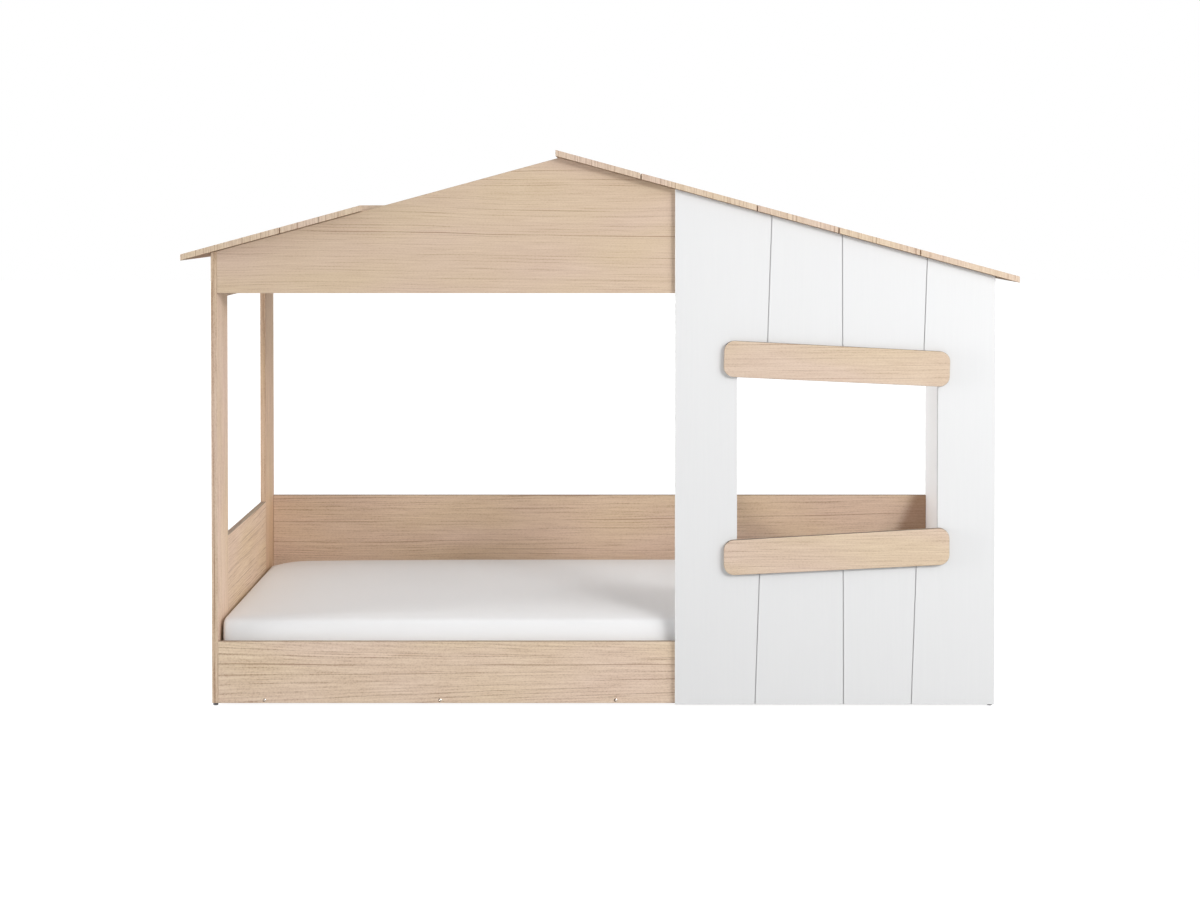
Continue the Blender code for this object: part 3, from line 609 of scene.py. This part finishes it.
def finish_nodes():
    """Every board, batten and glide gets its own finish in its material slot."""
    along_x = {"grain": "X", "cross": "Z", "thin": "Y"}
    along_y = {"grain": "Y", "cross": "Z", "thin": "X"}
    upright = {"grain": "Z", "cross": "Y", "thin": "X"}
    trim = {**along_x, "edge_shade": 0.42, "end_shade": 0.50, "sway": 0.010}
    # The shades and tints below are partly each board's own tone and partly painted light and shade:
    # brighter or darker boards as light falls on them, darker edges, ends and outer faces, and warmer
    # tints inside the bed.
    dress("front_guard", oak("oak_front_guard", 1.7, **along_x, shade=1.03, edge_shade=0.62,
                             sway=0.012, fan=0.45, fan_centre=0.085))
    dress("rear_guard", oak("oak_rear_guard", 5.3, **along_x, shade=0.97, edge_shade=0.50,
                            contrast=0.9, hue_bias=(1.0, 0.96, 0.935), painted_corner_shadow=True,
                            ring_centre=0.75, ring_depth=0.2))
    dress("front_gable", oak("oak_front_gable", 9.1, **along_x, shade=0.92, edge_shade=0.80,
                             contrast=0.62, hue_bias=(1.0, 0.985, 0.965),
                             ring_centre=0.80, ring_depth=0.2))
    dress("rear_gable", oak("oak_rear_gable", 12.9, **along_x, edge_shade=0.80,
                            ring_centre=1.55, ring_depth=0.2))
    dress("left_front_stile", oak("oak_left_front_stile", 15.4, **upright, shade=1.15,
                                  edge_shade=0.78, outer_shade=0.78, hue_bias=(1.015, 0.985, 0.98)))
    dress("left_rear_stile", oak("oak_left_rear_stile", 17.8, **upright, edge_shade=0.76,
                                 outer_shade=0.88, hue_bias=(1.05, 0.945, 0.85)))
    dress("left_lower_panel", oak("oak_left_panel", 21.2, **along_y, shade=1.09, edge_shade=0.50,
                                  outer_shade=0.82, hue_bias=(1.01, 0.975, 0.94)))
    dress("left_top_rail", oak("oak_left_rail", 24.6, **along_y, outer_shade=0.88))
    dress("window_lintel", oak("oak_lintel", 29.2, **trim, shade=0.93, contrast=0.75, ring_centre=1.6))
    dress("window_sill", oak("oak_sill", 31.1, **trim, shade=0.96, contrast=0.8))

    roof = ["roof_board_right_%d" % number for number in range(1, 6)]
    roof += ["roof_board_left_%d" % number for number in range(1, 3)]
    for index, name in enumerate(roof):
        joint_at = ROOF_JOINT if name == "roof_board_left_2" else None
        dress(name, oak("oak_" + name, seed_of("roof", index), grain="Y", cross="X", thin="Z",
                        end_shade=0.94, ends_upright=True, joint_at=joint_at, painted_underside_shade=True))
    # each white board: name, thin axis, shade and edge shade. The shade is partly the board's own tone
    # and partly painted light, brighter on the right end panel's inner face; the edge shade is painted
    # shade.
    whites = (("front_facade", "Y", 0.88, 0.66), ("right_end_panel", "X", 1.10, 0.90),
              ("right_side_wall", "X", 0.94, 0.80))
    for index, (name, thin, shade, edge_shade) in enumerate(whites):
        dress(name, white_board("white_" + name, seed_of("white", index), thin, shade, edge_shade))
    for index, name in enumerate(SLATS, 1):
        dress(name, pine("pine_" + name, seed_of("slat", index), "Y", "X", "Z"))
    for index, name in enumerate(BATTENS):
        dress(name, pine("pine_" + name, seed_of("batten", index), "X", "Y", "Z"))
    plastic = moulded_plastic("glide_plastic")
    for name in nodes:
        if name.startswith("glide_"):
            dress(name, plastic)


def link_mesh(name, bm, material):
    """A new object from a finished bmesh, with one material."""
    mesh = bpy.data.meshes.new(name)
    bm.to_mesh(mesh)
    bm.free()
    thing = bpy.data.objects.new(name, mesh)
    mesh.materials.append(material)
    bpy.context.scene.collection.objects.link(thing)
    return thing


# Screws, in metres
SCREW_SIDES = 24
HEX_ARMS = 6                    # a recess with this many arms is a hex socket, and others are crosses
LEDGE_SCREW = {"head": 4.0 * MM, "head_height": 2.6 * MM, "wall": 0.4 * MM, "rise": 1.3 * MM,
               "shank": 1.8 * MM, "arms": 4, "recess_reach": 2.2 * MM, "recess_width": 0.7 * MM,
               "recess_depth": 1.5 * MM}
CORNER_SCREW = {"head": 5.0 * MM, "head_height": 3.2 * MM, "wall": 0.2 * MM, "rise": 0.3 * MM,
                "shank": 3.0 * MM, "arms": HEX_ARMS, "recess_width": 2.0 * MM,
                "recess_depth": 2.2 * MM}
SLAT_SCREW = {"head": 3.6 * MM, "wall": 0.0, "rise": 0.13 * MM, "arms": 4,
              "recess_reach": 2.0 * MM, "recess_width": 0.6 * MM, "recess_depth": 0.10 * MM}
HEAD_SKIRT = 0.4 * MM           # the head's rim goes this far under the face it lies on
THREAD_STEP = 1.2 * MM          # from one crest of the thread to its next root
THREAD_HEIGHT = 0.5 * MM
SCREW_POINT = 0.1 * MM
SCREW_TURN = 0.65               # radians from one screw's turn to the next one's
SLAT_SCREW_TURN = 9.0           # radians a metre from one row of slat screws to the next
RECESS_FLOOR_SHARE = 0.78       # width of a recess at its floor, over that at its mouth
RECESS_STEP_SHARE = 0.94        # its width a little under the mouth
STEP_HEIGHT_SHARE = 0.55        # height of that place, over the dome's rise
MOUTH_SHARE = 1.6               # the mouth is as high as the dome at this radius, over the width
DOME_SHARES = (0.70, 0.85, 0.96, 1.0)
LEAST_SINE = 0.01               # keeps the reach of a cross finite along its arms


def recess_radius(screw, angle):
    """Reach of a cross or hex recess in one direction."""
    sector = 2 * math.pi / screw["arms"]
    off = abs((angle + sector / 2) % sector - sector / 2)
    if screw["arms"] == HEX_ARMS:
        return screw["recess_width"] / math.cos(off)
    arm_side = screw["recess_width"] / max(LEAST_SINE, math.sin(off))
    return min(screw["recess_reach"] / math.cos(off), arm_side)


def add_turned(bm, rings, matrix):
    """A closed turned shape from rings of (radius at each angle, height), with a fan at each end."""
    angles = [2 * math.pi * step / SCREW_SIDES for step in range(SCREW_SIDES)]
    rows = [[bm.verts.new(matrix @ Vector((radius(a) * math.cos(a), radius(a) * math.sin(a), height)))
             for a in angles] for radius, height in rings]
    for first, second in zip(rows, rows[1:]):
        for step in range(SCREW_SIDES):
            after = (step + 1) % SCREW_SIDES
            bm.faces.new((first[step], second[step], second[after], first[after]))
    for row, height, outward in ((rows[0], rings[0][1], True), (rows[-1], rings[-1][1], False)):
        middle = bm.verts.new(matrix @ Vector((0.0, 0.0, height)))
        for step in range(SCREW_SIDES):
            pair = [row[step], row[(step + 1) % SCREW_SIDES]]
            bm.faces.new((middle, *pair) if outward else (middle, *reversed(pair)))


def head_rings(screw):
    """Rings of a head from the floor of its recess out to its rim, over a face at height 0."""
    wall, rise, head = screw["wall"], screw["rise"], screw["head"]

    def dome(radius):
        return wall + rise * (1 - (radius / head) ** 2)

    floor_height = wall + rise - screw["recess_depth"]
    step_height = wall + rise * STEP_HEIGHT_SHARE
    mouth_height = dome(screw["recess_width"] * MOUTH_SHARE)
    rings = [(lambda a: RECESS_FLOOR_SHARE * recess_radius(screw, a), floor_height),
             (lambda a: RECESS_STEP_SHARE * recess_radius(screw, a), step_height),
             (lambda a: recess_radius(screw, a), mouth_height)]
    for share in DOME_SHARES:
        rings.append((lambda a, share=share: share * head, dome(share * head)))
    return rings


def screw_rings(screw, length):
    """Rings of a whole screw: its head, a cone under it, and a threaded shank with a point."""
    rings = head_rings(screw)
    rings.append((lambda a: screw["head"], -HEAD_SKIRT))
    rings.append((lambda a: screw["shank"], -screw["head_height"]))
    count = int((length - screw["head_height"] - 2 * screw["shank"]) / THREAD_STEP)
    for step in range(1, count):
        bare = screw["shank"] - (THREAD_HEIGHT if step % 2 else 0.0)
        rings.append((lambda a, bare=bare: bare, -screw["head_height"] - step * THREAD_STEP))
    rings.append((lambda a: SCREW_POINT, -length))
    return rings


def build_screws():
    """Each CAD screw gets a domed head with its recess and a threaded shank, at its own turn."""
    ledge_finish = nickel("ledge_screw_nickel", LEDGE_SCREW["head"])
    corner_finish = nickel("corner_screw_nickel", CORNER_SCREW["head"])
    screws = [name for name in nodes if "screw" in name]
    for index, name in enumerate(sorted(screws)):
        low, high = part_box(name)
        is_corner = name.startswith("corner")
        axis = AXIS["X"] if is_corner else AXIS["Y"]
        screw = CORNER_SCREW if is_corner else LEDGE_SCREW
        at_low = "left" in name if is_corner else name.startswith("front")
        outward = Vector((0.0, 0.0, 0.0))
        outward[axis] = -1.0 if at_low else 1.0
        place = (low + high) / 2
        place[axis] = low[axis] if at_low else high[axis]
        bm = bmesh.new()
        turn = Matrix.Rotation(SCREW_TURN * index, 4, "Z")
        add_turned(bm, screw_rings(screw, high[axis] - low[axis]), turn)
        thing = link_mesh(name + "_detail", bm, corner_finish if is_corner else ledge_finish)
        thing.data.shade_flat()
        thing.rotation_mode = "QUATERNION"
        thing.rotation_quaternion = outward.to_track_quat("Z", "Y")
        thing.location = place
        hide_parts(name)
        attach(thing, "bed_frame")


def build_slat_screws():
    """Flush heads that hold the slats on the ledges and on the runner, under the mattress."""
    bm = bmesh.new()
    rows = [(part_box(name)[0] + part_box(name)[1]) / 2 for name in BATTENS]
    for index, name in enumerate(SLATS, 1):
        low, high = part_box(name)
        for row in rows:
            spot = Matrix.Translation(((low.x + high.x) / 2, row.y, high.z))
            turn = Matrix.Rotation(index + SLAT_SCREW_TURN * row.y, 4, "Z")
            add_turned(bm, head_rings(SLAT_SCREW), spot @ turn)
    thing = link_mesh("slat_screws", bm, nickel("slat_screw_nickel"))
    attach(thing, "bed_frame")


# Mattress under its fitted sheet
END_ROUND = 0.006               # how far the edges' rounding reaches in from the two ends,
SIDE_ROUND = 0.015              # from the front and rear sides,
TOP_ROUND = 0.030               # and from the top and bottom
FRONT_CORNER = 0.005            # further radius of the corners in plan
REAR_CORNER = 0.070
EDGE_SHARES = (0.0, 0.4, 1.0)   # rows of points on a rounded edge, as shares of its reach
MATTRESS_CELL = 0.016           # spacing of the other rows
MATTRESS_CROWN = 0.009          # the CAD solid's crown, which is left out of the edges' height
CROWN_HEIGHT = 0.0105
CROWN_POWER = 3.5
CROWN_RISE_SHARE = 0.45         # of the width from the front edge, over which the crown rises
CROWN_FALL_SHARE = 0.25         # of the width up to the rear edge, over which it falls
FRONT_SHARE = 0.25              # share of the crown that is left at the front and rear edges
REAR_SHARE = 0.90
SIDE_WAIST = 0.0015             # the sides draw in this far between the corners
WAIST_POWER = 6
SWELL_LIMIT = 0.004
SWELL_FRAMES = 20
CLOTH = {"quality": 5, "mass": 0.3, "tension_stiffness": 30.0, "compression_stiffness": 30.0,
         "shear_stiffness": 15.0, "bending_stiffness": 12.0, "use_pressure": True,
         "uniform_pressure_force": 4.0, "vertex_group_mass": "held"}


def nearest_in_core(point, half, corner, low, high):
    """The nearest point of an upright core with round corners in plan."""
    flat = Vector((max(-half.x + corner, min(half.x - corner, point.x)),
                   max(-half.y + corner, min(half.y - corner, point.y))))
    out = Vector((point.x, point.y)) - flat
    if out.length > corner:
        out = out.normalized() * corner
    place = flat + out
    return Vector((place.x, place.y, max(low, min(high, point.z))))


def row_places(length, rounding):
    """Places of the rows of points along one side: some on each rounded edge, the rest even between."""
    edge = [rounding * share for share in EDGE_SHARES]
    steps = max(1, round((length - 2 * rounding) / MATTRESS_CELL))
    inner = [rounding + (length - 2 * rounding) * step / steps for step in range(1, steps)]
    return edge + inner + [length - place for place in reversed(edge)]


def smooth_step(value):
    """A share that starts and ends its way from 0 to 1 gently."""
    share = max(0.0, min(1.0, value))
    return share * share * (3 - 2 * share)


def crown_at(x, y, size):
    """Height of the crown over a flat top; it falls to the ends, and more to the front than the rear."""
    along = 1 - abs(2 * x / size.x) ** CROWN_POWER
    rise, fall = CROWN_RISE_SHARE * size.y, CROWN_FALL_SHARE * size.y
    share = FRONT_SHARE + (1 - FRONT_SHARE) * smooth_step((y + size.y / 2) / rise)
    share -= (1 - REAR_SHARE) * smooth_step((y - (size.y / 2 - fall)) / fall)
    return CROWN_HEIGHT * along * share


def mattress_shell():
    """A rounded block of even quads inside the mattress's own box."""
    low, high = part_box("mattress")
    centre = (low + high) / 2
    size = high - low - Vector((0.0, 0.0, MATTRESS_CROWN))
    rounding = Vector((END_ROUND, SIDE_ROUND, TOP_ROUND))
    rows = [row_places(size[axis], rounding[axis]) for axis in range(3)]
    steps = [len(row) - 1 for row in rows]
    bm = bmesh.new()
    points = {}

    def corner_at(place):
        if place not in points:
            x, y, z = (rows[axis][place[axis]] for axis in range(3))
            points[place] = bm.verts.new((x - size.x / 2, y - size.y / 2, z))
        return points[place]

    for axis in range(3):
        first, second = (axis + 1) % 3, (axis + 2) % 3
        for side in (0, steps[axis]):
            for i in range(steps[first]):
                for j in range(steps[second]):
                    loop = []
                    for di, dj in ((0, 0), (1, 0), (1, 1), (0, 1)):
                        place = [0, 0, 0]
                        place[axis], place[first], place[second] = side, i + di, j + dj
                        loop.append(corner_at(tuple(place)))
                    bm.faces.new(loop if side else list(reversed(loop)))
    half = Vector((size.x / 2 - END_ROUND, size.y / 2 - SIDE_ROUND))
    for vert in bm.verts:
        corner = FRONT_CORNER if vert.co.y < 0 else REAR_CORNER
        core = nearest_in_core(vert.co, half, corner, TOP_ROUND, size.z - TOP_ROUND)
        away = vert.co - core
        away = Vector(away[axis] / rounding[axis] for axis in range(3)).normalized()
        vert.co = core + away * rounding
    for vert in bm.verts:
        x, y, height = vert.co.x, vert.co.y, vert.co.z / size.z
        vert.co.z += crown_at(x, y, size) * smooth_step((height - 0.5) * 2)
        belly = math.sin(math.pi * height)
        waist = SIDE_WAIST * belly * (1 - abs(2 * x / size.x) ** WAIST_POWER)
        if abs(y) > half.y:
            vert.co.y -= math.copysign(waist, y)
    bmesh.ops.translate(bm, verts=bm.verts, vec=(centre.x, centre.y, low.z))
    return bm, low, high


def swell(piece, low, high):
    """Blow the shell up a little as cloth, hold it inside its space, and keep the result as its mesh."""
    mesh = piece.data
    start = [vert.co.copy() for vert in mesh.vertices]
    held = piece.vertex_groups.new(name="held")
    firm = [index for index, place in enumerate(start) if place.z < low.z + TOP_ROUND
            or not low.x + 2 * END_ROUND < place.x < high.x - 2 * END_ROUND]
    held.add(firm, 1.0, "REPLACE")
    cloth = piece.modifiers.new("swell", "CLOTH")
    for key, value in CLOTH.items():
        setattr(cloth.settings, key, value)
    cloth.settings.effector_weights.gravity = 0.0
    cloth.point_cache.frame_end = SWELL_FRAMES
    scene = bpy.context.scene
    for frame_number in range(1, SWELL_FRAMES + 1):
        scene.frame_set(frame_number)
    swollen = piece.evaluated_get(bpy.context.evaluated_depsgraph_get())
    places = [vert.co.copy() for vert in swollen.data.vertices]
    piece.modifiers.remove(cloth)
    piece.vertex_groups.remove(held)
    scene.frame_set(1)
    for vert, first, last in zip(mesh.vertices, start, places):
        moved = last - first
        if moved.length > SWELL_LIMIT:
            moved *= SWELL_LIMIT / moved.length
        place = first + moved
        for axis in range(2):
            place[axis] = max(low[axis], min(high[axis], place[axis]))
        place.z = max(low.z, place.z)
        vert.co = place
    mesh.update()


def build_mattress():
    """The mattress in its sheet, swollen a little and then rounded, in the CAD mattress's place."""
    bm, low, high = mattress_shell()
    mattress = link_mesh("fitted_sheet_mattress", bm, bed_sheet("bed_sheet"))
    mattress.data.shade_smooth()
    swell(mattress, low, high)
    rounder = mattress.modifiers.new("rounder", "SUBSURF")
    rounder.levels = rounder.render_levels = 1
    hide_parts("mattress")
    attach(mattress, "mattress")


def add_lamp(name, kind, target, side, height, watts):
    """A lamp that faces its target from so many degrees to the right and above."""
    side, height = math.radians(side), math.radians(height)
    level = math.cos(height)
    away = Vector((math.sin(side) * level, -math.cos(side) * level, math.sin(height)))
    data = bpy.data.lights.new(name, kind)
    data.energy = watts
    lamp = bpy.data.objects.new(name, data)
    lamp.location = Vector(target) + away * LAMP_DISTANCE
    lamp.rotation_mode = "QUATERNION"
    lamp.rotation_quaternion = away.to_track_quat("Z", "Y")
    lamp.visible_camera = False
    bpy.context.scene.collection.objects.link(lamp)
    return lamp


def build_studio():
    """A pale floor without an edge, a bright room, large soft lamps, and a spot for the window."""
    bm = bmesh.new()
    bmesh.ops.create_grid(bm, x_segments=2, y_segments=2, size=FLOOR_REACH)
    bmesh.ops.translate(bm, verts=bm.verts, vec=(0, 0, -FLOOR_DROP))
    paper, g, shader = new_material("studio_floor", {"Base Color": FLOOR_GREY,
                                                     "Roughness": FLOOR_ROUGHNESS,
                                                     "Emission Color": WHITE})
    in_picture = g.node("ShaderNodeLightPath").outputs["Is Camera Ray"]
    g.feed(shader.inputs["Emission Strength"], g.ramp(in_picture, 0.0, 1.0, FLOOR_GLOW, FLOOR_SEEN))
    floor = link_mesh("studio_floor", bm, paper)

    world = bpy.data.worlds.new("studio")
    world.use_nodes = True
    bpy.context.scene.world = world
    g = Graph(world.node_tree)
    background = world.node_tree.nodes["Background"]
    background.inputs["Color"].default_value = WHITE
    in_picture = g.node("ShaderNodeLightPath").outputs["Is Camera Ray"]
    direction = g.node("ShaderNodeTexCoord").outputs["Generated"]
    rearward = g.node("ShaderNodeSeparateXYZ", {0: direction}).outputs[1]
    glow = g.math("MULTIPLY_ADD", rearward, SKY_SLOPE, SKY_MEAN)
    g.feed(background.inputs["Strength"], g.mix_number(in_picture, glow, 1.0))

    for name, side, rise, width, height, watts in LAMPS:
        data = add_lamp(name, "AREA", LAMP_TARGET, side, rise, watts).data
        data.shape = "ELLIPSE"
        data.size, data.size_y = width, height
    beam = add_lamp("window_beam", "SPOT", BEAM_TARGET, BEAM_SIDE, BEAM_RISE, BEAM_WATTS)
    beam.scale[0] = BEAM_WIDENING
    beam.data.spot_size = math.radians(BEAM_CONE)
    beam.data.spot_blend = BEAM_BLEND
    beam.data.shadow_soft_size = BEAM_RADIUS
    beam.data.color = BEAM_COLOUR


def build_camera():
    """A camera in front of the bed, where the photograph was taken from."""
    data = bpy.data.cameras.new("camera")
    data.lens = CAMERA_LENS
    data.sensor_width = CAMERA_SENSOR
    data.shift_y = CAMERA_SHIFT
    camera = bpy.data.objects.new("camera", data)
    camera.location = CAMERA_PLACE
    camera.rotation_euler = (math.radians(90.0 - CAMERA_TILT), 0.0, 0.0)
    bpy.context.scene.collection.objects.link(camera)
    bpy.context.scene.camera = camera
    bpy.context.scene.view_settings.view_transform = "Standard"


build_camera()
build_studio()
finish_nodes()
build_screws()
build_slat_screws()
build_mattress()
